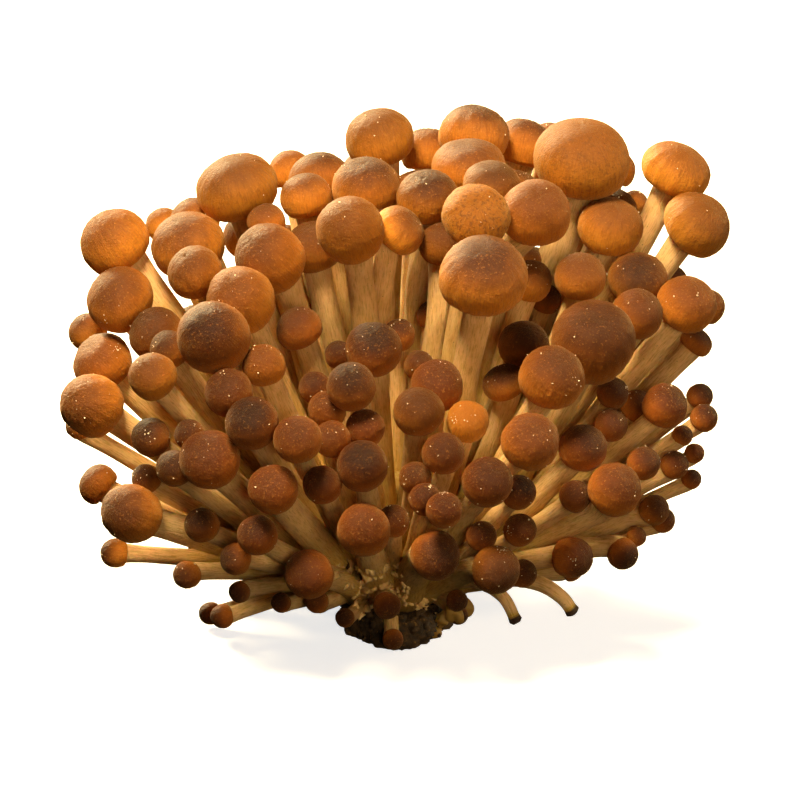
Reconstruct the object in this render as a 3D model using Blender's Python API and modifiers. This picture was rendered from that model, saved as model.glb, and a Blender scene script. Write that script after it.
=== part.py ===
"""Pioppino mushroom cluster, picked in one piece and standing on the cut face of its substrate.

Frame: metres, +Z up, -Y is the front. The origin is the middle of the cut face, at Z = 0.
The plan below is in millimetres. It is laid out on a board that leans back by BOARD_LEAN:
a mushroom's cap centre is so far across the board, so far up it, and so deep along Y.

Nodes: the substrate plug, the clumps that the cluster pulls apart into (stems grown together at the
foot, with the closed buttons that are still one with their stems), and one node for each open cap.
"""
import math

import bmesh
import bpy
import numpy as np
from mathutils import Vector

MM = 0.001
GAP = 0.3                    # clearance between touching nodes
OBJECT_NAME = "pioppino_mushroom_cluster"

# The foot
PLUG_HEIGHT = 8.0            # substrate left on the foot
PLUG_RX = 16.0
PLUG_RY = 22.0
FOOT_BASE = PLUG_HEIGHT + GAP
FOOT_OUTLINE = [(0, 50), (18, 48), (28, 41), (31, 32), (29, 22), (24, 13), (17, FOOT_BASE), (0, FOOT_BASE)]
CLUMPS = 6                   # the stems pull apart into this many clumps, each grown together
CLUMP_TURN = math.radians(3)  # where the first clump starts, from +X
CLUMP_HOLD = 1.2             # how much of a stem's thickness stays in its clump's wedge, at the least
WEDGE_REACH = 250.0          # past every stem
ROOT_RADIUS = 17.0           # stems start inside this circle
ROOT_HEIGHT = 13.0

# The board that the plan is laid out on
BOARD_LEAN = math.radians(18)
BOARD_FOOT = 7.0             # height on the board of the middle of the cut face

# The mushrooms
OPEN_CAP_WIDTH = 13.35       # caps this wide have opened and are nodes of their own
BUTTON_WIDTH = 8.5           # the narrowest button that is modelled
CAP_SIDES = 12
STEM_THICKNESS = (2.7, 0.25)  # stem diameter = the first + the second * cap width
THREAD_POINTS = 13
THREAD_STEPS = 300
STEM_STIFFNESS = 0.08        # how strongly a stem straightens itself at each step
STEM_LEEWAY = 2.0            # a stem may start this far inside a cap that it then bends round
STEM_TOLERANCE = 0.9
STEM_ROOTED = 4.0            # how deep in the foot a stem's root lies

# Across, up, depth, cap width; then, where they matter, the way the cap faces and how tall it is
CROWN = [
    (-3.8, 128.6, 40, 17.3, (-0.25, -0.1, 1)), (8.5, 125.3, 44, 14), (20, 129.3, 33, 18),
    (32.5, 127, 36, 15.5), (40, 127.8, 46, 12), (46.5, 122.7, 15, 24, (0.05, -0.3, 1), 0.68),
    (56, 120.5, 34, 9.5), (70.5, 120, 20, 18, (0.45, -0.1, 1), 0.62),
    (75.3, 106.3, 15, 17.3, (0.75, -0.35, 1), 0.72), (-39.6, 115.6, 20, 20, (-0.25, -0.25, 1)),
    (-26.5, 120.5, 42, 11), (-19, 118.2, 36, 15.5), (-22.3, 113.2, 20, 13),
    (-7.3, 115.6, 19, 17.3, (0, -0.3, 1), 0.74), (-8.5, 120.5, 48, 10),
    (18.5, 121, 23, 18.5, (0, -0.1, 1), 0.6),
    (24, 115.8, 12, 14.6, (0.1, -0.3, 1), 0.66), (8.2, 112.8, 6, 15.8, (0, -0.3, 1), 0.7),
    (20, 107.8, -2, 17, (0, -0.75, 1), 0.66), (34.8, 108.8, -1, 17.2, (0.1, -0.6, 1), 0.76),
    (54.5, 110.8, 17, 12.6, (0.3, -0.2, 1), 0.64), (60.5, 112, 34, 7),
    (53.8, 105.6, 5, 16.4, (0.2, -0.3, 1), 0.72), (-70.2, 102, 6, 17.6, (-0.65, -0.2, 1), 0.76),
    (-58.5, 106.6, 32, 9), (-50.5, 107.6, 24, 12.4), (-51.6, 101, 9, 18.6, (-0.4, -0.4, 1), 0.72),
]
SHOULDER = [
    (-32, 106.8, 10, 9.6), (-31, 97.6, -6, 17.2, (-0.75, -0.7, 1), 0.9), (-20.3, 100.7, 2, 14),
    (-11, 104.5, -4, 16.6, (-0.3, -0.7, 1), 0.88), (1, 104.6, 1, 12.6, (0.85, -0.25, 1), 0.72),
    (11.8, 101, 5, 11.6), (21.6, 92.8, -18, 21.7, (0.05, -0.5, 1), 0.68), (33.6, 92, -1, 11),
    (46, 93.1, -8, 13, (0, -0.3, 1), 0.74), (60.4, 92.6, -7, 14.8, (0.05, -0.8, 1), 0.66),
    (69, 92, 18, 9), (72.3, 86.2, -10, 14.8, (0.45, -0.45, 1), 0.76), (78, 85.8, 6, 9, (0.8, 0, 1)),
    (75, 77, -3, 8.6, (0.7, 0.1, 1), 0.66), (-49.4, 94, -5, 13.6, (-0.5, -0.5, 1)),
    (-68.4, 87.6, -3, 17, (-0.5, -0.6, 1)), (-37.9, 87, -19, 16.6, (-0.45, -0.8, 1), 0.88),
    (-44.4, 78, -34, 17.8, (-0.4, -1.1, 1), 0.9), (-59, 78.8, -10, 14), (-77, 79.4, 9, 9.6),
    (-55.6, 74.8, -19, 9.6), (-23.8, 80.3, -12, 11.8, (-0.5, -0.2, 1), 0.74), (9.3, 83.6, 6, 7.6),
    (1, 78.6, -6, 8.2), (-14, 73.8, -14, 7), (6, 71, -12, 7.6), (59.8, 83.8, -14, 12.9),
    (48.6, 77, -24, 20.6, (0.2, -0.9, 1), 0.84), (31.8, 76, -17, 12.6), (38.3, 68.1, -37, 16.2),
    (27, 66.8, -24, 11.2, (-0.35, -0.25, 1), 0.62),
]
FRONT = [
    (-72.8, 71.8, -3, 15.2), (-75, 61.2, -21, 15.4, (-0.9, -1.1, 0.9), 0.9), (-79, 56, 2, 7),
    (-59.5, 68.3, -31, 11.8), (-60, 53.3, -33, 9.6), (-61.6, 43, -24, 7.6), (-50.5, 54, -36, 7.6),
    (-32.2, 71, -34, 10.6), (-40.5, 64.2, -42, 12), (-34.8, 56.8, -51, 13), (-23.5, 53, -53, 11.8),
    (-45.2, 48, -53, 15), (-54, 45.7, -45, 9), (-29.6, 40.7, -59, 12.2), (-5.2, 74.9, -28, 14.1),
    (-10.6, 65.8, -42, 12), (-19.6, 65.6, -37, 8), (-16.6, 60.2, -43, 9.4), (-15.3, 53, -49, 9),
    (-7.2, 55.6, -47, 9.6), (-17.7, 41.9, -55, 9.4), (-7.9, 46.5, -57, 12.7), (5.8, 59.8, -46, 12.4),
    (10.4, 66, -35, 13.1), (17.7, 57.3, -44, 10.4), (11.8, 49.5, -54, 10.4), (5, 43.5, -54, 8.2),
    (7.3, 38.4, -57, 8), (11.9, 35.8, -62, 9), (22.5, 42.6, -60, 12.3), (30.2, 40, -52, 8.6),
    (53.7, 64.2, -24, 8), (53.2, 56.3, -31, 8.2), (66.7, 61.1, -24, 11.1), (76, 63.4, -5, 6.6),
    (76.8, 58, -9, 7), (71.3, 53.6, -15, 5.3), (74.5, 49.2, -12, 5), (46, 50.8, -41, 11.8),
    (33, 52.4, -57, 14.2), (61.3, 47, -31, 8.2), (69.2, 46.4, -21, 7), (73.7, 42.8, -15, 5),
    (53.8, 40.6, -47, 13.3), (44.2, 39, -45, 8), (60, 61, -11, 8),
]
SKIRT = [
    (-74.5, 41.4, 3, 10.6, (-1, 0.25, 0.75), 0.7), (-65, 34.5, -31, 14.7, (-0.9, -1.2, 0.8), 0.9),
    (-70, 24.2, -7, 7.6, (-1, -0.2, 0.1)), (-47.4, 31.9, -44, 8.6), (-33.5, 29.5, -55, 9.8),
    (-39, 23.6, -49, 7.8, (-1, -0.9, 0.3)), (-51.5, 19.3, -31, 7, (-0.8, -1, 0)),
    (-38.5, 15, -31, 5.4, (-0.7, -1, 0)), (-43.2, 8.4, -13, 6, (-1, -0.5, -0.05)),
    (-46.4, 8.9, -5, 5.8, (-1, 0, 0)), (-28.3, 12.2, -28, 5), (-19.4, 12.5, -27, 6),
    (-21.1, 19.9, -52, 12.2, (-0.5, -1.2, 0.5)), (-7.6, 31, -61, 13, (0, -1.1, 0.9), 0.9),
    (-0.4, 33, -53, 8), (-12.4, 8.6, -35, 4.8), (-2, 11.8, -37, 6.8, (0.3, -1, -0.2)),
    (-0.5, 3, -27, 5.2, (0.2, -1, -0.3)), (9.8, 24.6, -58, 12.3, (0.5, -1.1, 0.35)),
    (15.4, 12.8, -31, 5.4, (0.4, -1, -0.1)), (15.7, 9.2, -29, 5, (0.5, -1, -0.4)),
    (24.6, 21, -55, 12, (0.4, -1.2, 0.1)), (21.2, 29.2, -50, 7.4), (30.6, 30.7, -51, 8.2),
    (31.4, 19.8, -42, 7), (43.6, 23.7, -41, 10.3, (1, -0.8, 0.1)),
    (56.3, 24.5, -31, 7.8, (0.8, -0.9, -0.5)),
    (64.2, 35.2, -23, 7.6), (66.6, 32.6, -17, 6.4), (60, 28.6, -23, 5),
]

# The rear of the cluster is rounder and fuller: caps on an egg, wherever there is room
REAR_CENTRE = (0.0, 4.0, 50.0)
REAR_AXES = (61.0, 64.0, 62.0)
REAR_TRIES = 1400
REAR_START = 10.0            # how far back the rear begins
REAR_WIDTH = (7.2, 11.5)     # cap width low on the egg, and how much wider it is at the top
GOLDEN_ANGLE = math.pi * (3 - math.sqrt(5))


def unit(vectors):
    """Vectors of length one, row by row."""
    vectors = np.asarray(vectors, float)
    return vectors / np.linalg.norm(vectors, axis=-1, keepdims=True)


def off_the_board(across, up, depth):
    """The point in space that lies so far across and up the leaning board, at this depth."""
    height = (up - BOARD_FOOT - depth * math.sin(BOARD_LEAN)) / math.cos(BOARD_LEAN)
    return (across, depth, height)


def facing(centre):
    """The way a cap faces: outwards from the foot, and more upwards the taller its stem is."""
    x, y, z = centre
    forward = (15 + 0.2 * z) * min(1.0, max(0.0, 1 - y / 30))
    outward = unit((0.9 * x, y - forward, 12 + 0.62 * z))
    level = 0.35 * min(1.0, max(0.0, z / 40))
    return unit(0.75 * outward + level * np.array((0, 0, 1)))


def cap_height(width):
    """Height of a cap for its width: buttons are nearly round, open caps are flatter."""
    return 0.84 - 0.013 * max(0.0, width - 9)


def cap_profile(width, tall):
    """A cap's outline from its top down, as (radius, height) from the middle of its widest ring."""
    radius = width / 2
    dome = 0.6 * tall * width
    margin = 0.4 * tall * width
    outline = [(0, dome)]
    for angle in (math.radians(a) for a in (40, 72)):
        outline.append((radius * math.sin(angle), dome * math.cos(angle)))
    return np.array(outline + [(radius, -0.12 * margin), (0.66 * radius, -margin), (0, -margin)])


def mushroom(centre, width, face, tall, group):
    """One mushroom, before its stem is threaded."""
    return dict(centre=centre, width=width, face=face, group=group, cap=cap_profile(width, tall))


def reach_towards(caps, faces, ways):
    """How far turned caps reach from their centres in the given directions."""
    level = (faces * ways).sum(axis=-1)
    side = np.sqrt(np.maximum(0, 1 - level ** 2))
    return (caps[..., 0] * side[..., None] + caps[..., 1] * level[..., None]).max(axis=-1)


def planted(rows, group):
    """The mushrooms of one part of the plan, as dictionaries."""
    mushrooms = []
    for across, up, depth, width, *more in rows:
        centre = np.array(off_the_board(across, up, depth))
        face = unit(more[0]) if more else facing(centre)
        tall = more[1] if len(more) > 1 else cap_height(width)
        mushrooms.append(mushroom(centre, width, face, tall, group))
    return mushrooms


def clearances(mushrooms, centre):
    """Clearance between each two caps along the line that joins their centres."""
    caps = np.array([m["cap"] for m in mushrooms])
    faces = np.array([m["face"] for m in mushrooms])
    delta = centre[None, :, :] - centre[:, None, :]
    distance = np.linalg.norm(delta, axis=2) + 1e9 * np.eye(len(mushrooms))
    reach = reach_towards(caps[:, None], faces[:, None], delta / distance[..., None])
    return distance - reach - reach.T


def spread_out(mushrooms):
    """Moves caps that would touch apart, mostly in depth, so that the plan keeps its shape."""
    centre = np.array([m["centre"] for m in mushrooms])
    home = centre.copy()
    into = np.array((0, math.cos(BOARD_LEAN), -math.sin(BOARD_LEAN)))
    lowest = np.array([m["width"] / 2 + 0.6 for m in mushrooms])
    for step in range(400):
        overlap = np.maximum(0, 2 * GAP - clearances(mushrooms, centre))
        if not overlap.any():
            break
        push = centre[None, :, :] - centre[:, None, :]
        push /= np.linalg.norm(push, axis=2, keepdims=True) + np.eye(len(mushrooms))[..., None]
        push += 0.7 * np.sign(push @ into)[..., None] * into
        centre -= 0.3 * (overlap[..., None] * push).sum(axis=1)
        if step < 300:
            away = centre - home
            centre -= 0.25 * (away - (away @ into)[:, None] * into)
        centre[:, 2] = np.maximum(centre[:, 2], lowest)
    for m, place in zip(mushrooms, centre):
        m["centre"] = place


def stem_radius(width):
    """Radius of the stem that carries a cap this wide."""
    thin, share = STEM_THICKNESS
    return (thin + share * width) / 2


def first_line(m):
    """A stem's middle line as it would grow alone: up from the foot, then square to its cap."""
    x, y, z = m["centre"]
    reach = max(math.hypot(x, y), 1e-6)
    out = ROOT_RADIUS * min(1.0, reach / 62) / reach
    root = np.array((x * out, y * out, ROOT_HEIGHT))
    end = m["centre"] + m["face"] * (m["cap"][-1, 1] - GAP)
    length = np.linalg.norm(end - root)
    one = root + 0.3 * length * unit(0.8 * unit(end - root) + 0.2 * np.array((0, 0, 1)))
    two = end - 0.33 * length * m["face"]
    t = np.linspace(0, 1, THREAD_POINTS)[:, None]
    return ((1 - t) ** 3 * root + 3 * (1 - t) ** 2 * t * one
            + 3 * (1 - t) * t ** 2 * two + t ** 3 * end)


def room_around(m, others):
    """The least clearance of a new mushroom's cap and stem from the others' caps and stems."""
    caps = np.array([o["cap"] for o in others])
    faces = np.array([o["face"] for o in others])
    centre = np.array([o["centre"] for o in others])
    lines = np.array([o["line"] for o in others])
    thick = np.array([stem_radius(o["width"]) for o in others])
    away = centre - m["centre"]
    distance = np.linalg.norm(away, axis=1)
    way = away / distance[:, None]
    between_caps = distance - reach_towards(m["cap"], m["face"], way) - reach_towards(caps, faces, -way)
    along = lines - m["centre"]
    distance = np.linalg.norm(along, axis=2)
    reach = reach_towards(m["cap"], m["face"], along / distance[..., None])
    to_stems = distance - reach - thick[:, None]
    along = m["line"][None, 3:] - centre[:, None]
    distance = np.linalg.norm(along, axis=2)
    reach = reach_towards(caps[:, None], faces[:, None], along / distance[..., None])
    to_caps = distance - reach - stem_radius(m["width"])
    return min(between_caps.min(), to_stems.min(), to_caps.min() + STEM_LEEWAY)


def planted_behind(mushrooms):
    """More mushrooms on the rear of the egg, from a golden-angle spiral, where there is room."""
    rng = np.random.default_rng(7)
    grown = list(mushrooms)
    for m in grown:
        m["line"] = first_line(m)
    for turn in range(REAR_TRIES):
        height = 1 - 1.72 * (turn + 0.5) / REAR_TRIES
        ring = math.sqrt(1 - height * height)
        angle = turn * GOLDEN_ANGLE
        swell = rng.uniform(0.86, 1.06)
        spread = rng.uniform(0.85, 1.15)
        spot = (ring * math.cos(angle), ring * math.sin(angle), height)
        centre = np.array([c + s * swell * p for c, s, p in zip(REAR_CENTRE, REAR_AXES, spot)])
        if centre[1] < REAR_START or centre[2] < 7:
            continue
        width = (REAR_WIDTH[0] + REAR_WIDTH[1] * (centre[2] / 115) ** 1.2) * spread
        new = mushroom(centre, width, facing(centre), cap_height(width), "rear")
        new["line"] = first_line(new)
        if room_around(new, grown) > 2 * GAP:
            grown.append(new)
    return grown


def thread_stems(mushrooms):
    """Bends each stem round the caps of the other mushrooms."""
    lines = np.array([m["line"] for m in mushrooms])
    centre = np.array([m["centre"] for m in mushrooms])
    caps = np.array([m["cap"] for m in mushrooms])
    faces = np.array([m["face"] for m in mushrooms])
    radius = np.array([m["width"] / 2 for m in mushrooms])
    thick = np.array([stem_radius(m["width"]) for m in mushrooms])
    others = ~np.eye(len(mushrooms), dtype=bool)[:, None, :]
    for step in range(THREAD_STEPS):
        delta = lines[:, 1:-1, None, :] - centre
        distance = np.linalg.norm(delta, axis=3)
        near = others & (distance < radius + thick[:, None, None] + STEM_LEEWAY)
        stem, point, cap = np.nonzero(near)
        apart = distance[stem, point, cap]
        way = delta[stem, point, cap] / apart[:, None]
        reach = reach_towards(caps[cap], faces[cap], way)
        overlap = np.maximum(0, reach + thick[stem] + 3 * GAP - apart)
        push = np.zeros_like(lines[:, 1:-1])
        np.add.at(push, (stem, point), overlap[:, None] * way)
        tangent = unit(lines[:, 2:] - lines[:, :-2])
        push -= (push * tangent).sum(axis=2, keepdims=True) * tangent
        smooth = (lines[:, 2:] + lines[:, :-2]) / 2 - lines[:, 1:-1]
        lines[:, 1:-1] += 0.8 * push + STEM_STIFFNESS * smooth
        lines[:, 1:-1, 2] = np.maximum(lines[:, 1:-1, 2], thick[:, None] + 0.6)
    for m, line in zip(mushrooms, lines):
        m["line"] = line


def new_material(name, colour, roughness):
    """A plain Principled material."""
    material = bpy.data.materials.new(name)
    material.use_nodes = True
    shader = material.node_tree.nodes["Principled BSDF"]
    shader.inputs["Base Color"].default_value = (*colour, 1)
    shader.inputs["Roughness"].default_value = roughness
    shader.inputs["Metallic"].default_value = 0
    return material


def new_object(name, mesh, collection, material=None):
    """An object of this mesh, linked to the collection."""
    obj = bpy.data.objects.new(name, mesh)
    if material:
        mesh.materials.append(material)
    collection.objects.link(obj)
    return obj


def as_guide(obj):
    """An object that is only there to join or cut another one."""
    obj.hide_render = True
    obj.display_type = "WIRE"
    return obj


def turned(name, profile, sides, collection, material):
    """A solid turned about its own Z axis from (radius, height) points in mm, top to bottom."""
    mesh = bpy.data.meshes.new(name)
    shape = bmesh.new()
    corners = [shape.verts.new((r * MM, 0, h * MM)) for r, h in profile]
    for upper, lower in zip(corners, corners[1:]):
        shape.edges.new((upper, lower))
    shape.to_mesh(mesh)
    shape.free()
    obj = new_object(name, mesh, collection, material)
    screw = obj.modifiers.new("turn", "SCREW")
    screw.steps = sides
    screw.render_steps = sides
    screw.use_merge_vertices = True
    screw.merge_threshold = 0.00005
    screw.use_smooth_shade = True
    return obj


def make_cap(name, m, collection, material):
    """An open cap: a domed top, a rounded margin that curls under, and a flat underside."""
    cap = turned(name, m["cap"], CAP_SIDES, collection, material)
    cap.location = Vector(m["centre"]) * MM
    cap.rotation_euler = Vector(m["face"]).to_track_quat("Z", "Y").to_euler()
    return cap


def simplified(points):
    """The points that a line needs to keep its bends to within STEM_TOLERANCE."""
    first, last = points[0], points[-1]
    way = unit(last - first)
    off = points - first
    off -= (off @ way)[:, None] * way
    sag = np.linalg.norm(off, axis=1)
    bend = int(sag.argmax())
    if sag[bend] < STEM_TOLERANCE:
        return [first, last]
    return simplified(points[:bend + 1])[:-1] + simplified(points[bend:])


def stem_points(m):
    """The stem's points and radii, from inside the foot; a button's cap is part of it."""
    line = m["line"]
    reach, height = np.array(FOOT_OUTLINE[-2::-1]).T
    inside = np.hypot(line[:, 0], line[:, 1]) < np.interp(line[:, 2], height, reach) - STEM_ROOTED
    start = max(np.nonzero(inside)[0], default=0)
    points = simplified(line[start:-1])[:-1] + [line[-1] - 3.5 * m["face"], line[-1]]
    radii = [stem_radius(m["width"])] * len(points)
    if m["width"] < OPEN_CAP_WIDTH:
        dome = m["cap"][0, 1]
        for lift, share in ((0, 1), (0.66 * dome, 0.74), (dome, 0.25)):
            points.append(m["centre"] + m["face"] * lift)
            radii.append(share * m["width"] / 2)
    return points, radii


def tube(name, points, radii, collection):
    """A closed tube through points in mm, as a mesh."""
    curve = bpy.data.curves.new(name, "CURVE")
    curve.dimensions = "3D"
    curve.bevel_depth = MM
    curve.bevel_resolution = 1
    curve.use_fill_caps = True
    spline = curve.splines.new("POLY")
    spline.points.add(len(points) - 1)
    for point, place, radius in zip(spline.points, points, radii):
        point.co = (*(Vector(place) * MM), 1)
        point.radius = radius
    guide = bpy.data.objects.new(name, curve)
    collection.objects.link(guide)
    graph = bpy.context.evaluated_depsgraph_get()
    mesh = bpy.data.meshes.new_from_object(guide.evaluated_get(graph))
    bpy.data.objects.remove(guide)
    shape = bmesh.new()
    shape.from_mesh(mesh)
    bmesh.ops.remove_doubles(shape, verts=shape.verts, dist=0.000001)
    bmesh.ops.recalc_face_normals(shape, faces=shape.faces)
    shape.to_mesh(mesh)
    shape.free()
    return as_guide(new_object(name, mesh, collection))


def make_plug(collection, material):
    """The substrate left on the foot: a lump with an uneven rim and a flat cut face."""
    mesh = bpy.data.meshes.new("substrate_plug")
    shape = bmesh.new()
    bmesh.ops.create_cone(shape, cap_ends=True, segments=20, radius1=1, radius2=0.9, depth=1)
    for vert in shape.verts:
        angle = math.atan2(vert.co.y, vert.co.x)
        uneven = 1 + 0.05 * math.sin(3 * angle + 0.6) + 0.035 * math.sin(7 * angle)
        vert.co.x *= PLUG_RX * uneven * MM
        vert.co.y *= PLUG_RY * uneven * MM
        vert.co.z = (vert.co.z + 0.5) * PLUG_HEIGHT * MM
    shape.to_mesh(mesh)
    shape.free()
    return new_object("substrate_plug", mesh, collection, material)


def clump_of(m):
    """Which clump a mushroom's stem belongs to, counted round the foot."""
    angle = math.atan2(m["centre"][1], m["centre"][0]) - CLUMP_TURN
    return int(angle / (2 * math.pi) * CLUMPS % CLUMPS)


def held_in_wedge(points, radius, clump):
    """A stem's points, moved where need be so that none of it leaves its clump's wedge quite."""
    held = np.array(points)
    for side, edge in ((1, clump), (-1, clump + 1)):
        angle = CLUMP_TURN + edge * 2 * math.pi / CLUMPS
        inward = side * np.array((-math.sin(angle), math.cos(angle)))
        lack = CLUMP_HOLD - radius - held[:, :2] @ inward
        held[:, :2] += np.maximum(0, lack)[:, None] * inward
    return held


def make_wedge(clump, collection):
    """The wedge of space that holds a clump, clear of its neighbours'."""
    half = math.pi / CLUMPS
    middle = CLUMP_TURN + (2 * clump + 1) * half
    tip = GAP / 2 / math.sin(half)
    corners = [(tip * math.cos(middle), tip * math.sin(middle))]
    for angle in (middle - half, middle + half):
        corners.append((corners[0][0] + WEDGE_REACH * math.cos(angle),
                        corners[0][1] + WEDGE_REACH * math.sin(angle)))
    mesh = bpy.data.meshes.new(f"wedge_{clump}")
    shape = bmesh.new()
    face = shape.faces.new([shape.verts.new((x * MM, y * MM, 0)) for x, y in corners])
    raised = bmesh.ops.extrude_face_region(shape, geom=[face])["geom"]
    bmesh.ops.translate(shape, verts=[v for v in raised if isinstance(v, bmesh.types.BMVert)],
                        vec=(0, 0, WEDGE_REACH * MM))
    bmesh.ops.recalc_face_normals(shape, faces=shape.faces)
    shape.to_mesh(mesh)
    shape.free()
    return as_guide(new_object(mesh.name, mesh, collection))


def make_clump(clump, mushrooms, cutters, parts, material):
    """A clump: its share of the foot, with the stems and closed buttons that grow out of it."""
    stems = bpy.data.collections.new(f"stems_{clump}")
    cutters.children.link(stems)
    for number, m in enumerate(mushrooms):
        if m["width"] >= BUTTON_WIDTH and clump_of(m) == clump:
            points, radii = stem_points(m)
            tube(f"stem_{number:03d}", held_in_wedge(points, radii[0], clump), radii, stems)
    foot = turned(f"stem_clump_{clump + 1}", FOOT_OUTLINE, 24, parts, material)
    join = foot.modifiers.new("join", "BOOLEAN")
    join.operation = "UNION"
    join.solver = "EXACT"
    join.operand_type = "COLLECTION"
    join.collection = stems
    share = foot.modifiers.new("share", "BOOLEAN")
    share.operation = "INTERSECT"
    share.solver = "EXACT"
    share.object = make_wedge(clump, cutters)


def build():
    """The whole cluster."""
    for obj in list(bpy.data.objects):
        bpy.data.objects.remove(obj)
    parts = bpy.data.collections.new(OBJECT_NAME)
    cutters = bpy.data.collections.new("cutters")
    bpy.context.scene.collection.children.link(parts)
    bpy.context.scene.collection.children.link(cutters)

    mushrooms = (planted(CROWN, "crown") + planted(SHOULDER, "shoulder")
                 + planted(FRONT, "front") + planted(SKIRT, "skirt"))
    spread_out(mushrooms)
    mushrooms = planted_behind(mushrooms)
    thread_stems(mushrooms)

    make_plug(parts, new_material("substrate", (0.03, 0.018, 0.01), 0.95))
    for clump in range(CLUMPS):
        material = new_material(f"stems_{clump + 1}", (0.58, 0.38, 0.18), 0.7)
        make_clump(clump, mushrooms, cutters, parts, material)
    counts = {}
    for number, m in enumerate(mushrooms):
        if m["width"] < OPEN_CAP_WIDTH:
            continue
        group = m["group"]
        counts[group] = counts.get(group, 0) + 1
        shade = 0.8 + 0.4 * ((number * 7) % 10) / 10
        material = new_material(f"cap_{number:03d}", (0.2 * shade, 0.075 * shade, 0.02 * shade), 0.6)
        make_cap(f"cap_{group}_{counts[group]:02d}", m, parts, material)


build()
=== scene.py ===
"""The looks of the pioppino mushroom cluster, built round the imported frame.

The plan of the cluster is grown again here, in millimetres, so that each piece lands on its solid.
Every cap, button, pin and stem is then made in full, with its own skin, veil and fibres.
"""
import math

import bpy
import numpy as np
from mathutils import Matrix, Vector


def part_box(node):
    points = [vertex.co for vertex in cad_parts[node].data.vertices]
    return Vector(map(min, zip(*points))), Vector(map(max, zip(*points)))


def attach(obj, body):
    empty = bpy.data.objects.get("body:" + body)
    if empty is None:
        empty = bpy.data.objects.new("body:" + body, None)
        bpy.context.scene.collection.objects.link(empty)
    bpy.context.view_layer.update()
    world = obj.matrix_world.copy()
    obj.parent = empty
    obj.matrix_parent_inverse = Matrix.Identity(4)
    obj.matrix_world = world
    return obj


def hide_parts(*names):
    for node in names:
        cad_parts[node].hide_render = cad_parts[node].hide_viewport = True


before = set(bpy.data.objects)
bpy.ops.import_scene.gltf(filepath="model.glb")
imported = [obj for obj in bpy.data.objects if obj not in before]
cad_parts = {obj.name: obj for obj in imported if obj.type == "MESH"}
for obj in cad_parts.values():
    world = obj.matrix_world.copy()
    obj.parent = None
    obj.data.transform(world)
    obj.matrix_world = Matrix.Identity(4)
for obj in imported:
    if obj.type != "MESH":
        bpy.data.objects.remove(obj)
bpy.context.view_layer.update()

MM = 0.001
GAP = 0.3                    # clearance that the solids keep from each other
SEED = 11

# The foot
ROOT_RADIUS = 17.0           # stems start inside this circle
ROOT_HEIGHT = 13.0

# The board that the plan is laid out on
BOARD_LEAN = math.radians(18)
BOARD_FOOT = 7.0             # height on the board of the middle of the cut face

# The clumps that the cluster pulls apart into
CLUMPS = [f"stem_clump_{number}" for number in range(1, 7)]
CLUMP_TURN = math.radians(3)  # where the first clump starts, from +X

# The mushrooms
OPEN_CAP_WIDTH = 13.35       # caps this wide are solids of their own
STEM_THICKNESS = (2.7, 0.25)  # stem diameter = the first + the second * cap width
THREAD_POINTS = 13
THREAD_STEPS = 300
STEM_STIFFNESS = 0.08        # how strongly a stem straightens itself at each step
STEM_LEEWAY = 2.0            # a stem may start this far inside a cap that it then bends round

# Across, up, depth, cap width; then, where they matter, the way the cap faces and how tall it is
CROWN = [
    (-3.8, 128.6, 40, 17.3, (-0.25, -0.1, 1)), (8.5, 125.3, 44, 14), (20, 129.3, 33, 18),
    (32.5, 127, 36, 15.5), (40, 127.8, 46, 12), (46.5, 122.7, 15, 24, (0.05, -0.3, 1), 0.68),
    (56, 120.5, 34, 9.5), (70.5, 120, 20, 18, (0.45, -0.1, 1), 0.62),
    (75.3, 106.3, 15, 17.3, (0.75, -0.35, 1), 0.72), (-39.6, 115.6, 20, 20, (-0.25, -0.25, 1)),
    (-26.5, 120.5, 42, 11), (-19, 118.2, 36, 15.5), (-22.3, 113.2, 20, 13),
    (-7.3, 115.6, 19, 17.3, (0, -0.3, 1), 0.74), (-8.5, 120.5, 48, 10),
    (18.5, 121, 23, 18.5, (0, -0.1, 1), 0.6),
    (24, 115.8, 12, 14.6, (0.1, -0.3, 1), 0.66), (8.2, 112.8, 6, 15.8, (0, -0.3, 1), 0.7),
    (20, 107.8, -2, 17, (0, -0.75, 1), 0.66), (34.8, 108.8, -1, 17.2, (0.1, -0.6, 1), 0.76),
    (54.5, 110.8, 17, 12.6, (0.3, -0.2, 1), 0.64), (60.5, 112, 34, 7),
    (53.8, 105.6, 5, 16.4, (0.2, -0.3, 1), 0.72), (-70.2, 102, 6, 17.6, (-0.65, -0.2, 1), 0.76),
    (-58.5, 106.6, 32, 9), (-50.5, 107.6, 24, 12.4), (-51.6, 101, 9, 18.6, (-0.4, -0.4, 1), 0.72),
]
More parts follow.
